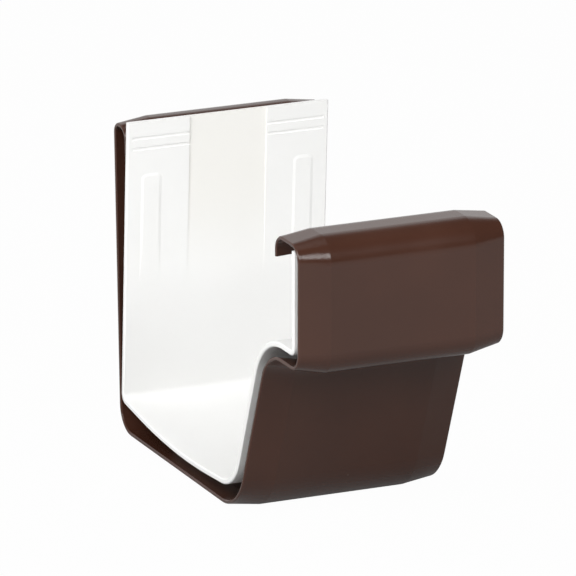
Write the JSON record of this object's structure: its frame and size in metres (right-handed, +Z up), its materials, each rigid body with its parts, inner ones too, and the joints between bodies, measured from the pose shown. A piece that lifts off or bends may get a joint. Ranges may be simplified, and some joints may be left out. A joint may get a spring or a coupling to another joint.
{
  "type": "gutter connector",
  "caption": "Short K-style gutter joint: a brown shell with rolled back hook and front lip, and a white liner nested inside with a slot for gutter ends.",
  "frame": {"origin": "middle of the bounding box's bottom, on the plane of the shell's flat underside", "axes": "+X along the gutter, +Y towards the house wall, +Z up"},
  "size_m": [0.0644, 0.1358, 0.0974],
  "materials": {
    "brown_pvc": "satin",
    "white_pvc": "satin"
  },
  "bodies": {
    "root": {"outer_shell": "brown_pvc", "inner_liner": "white_pvc"}
  },
  "joints": []
}
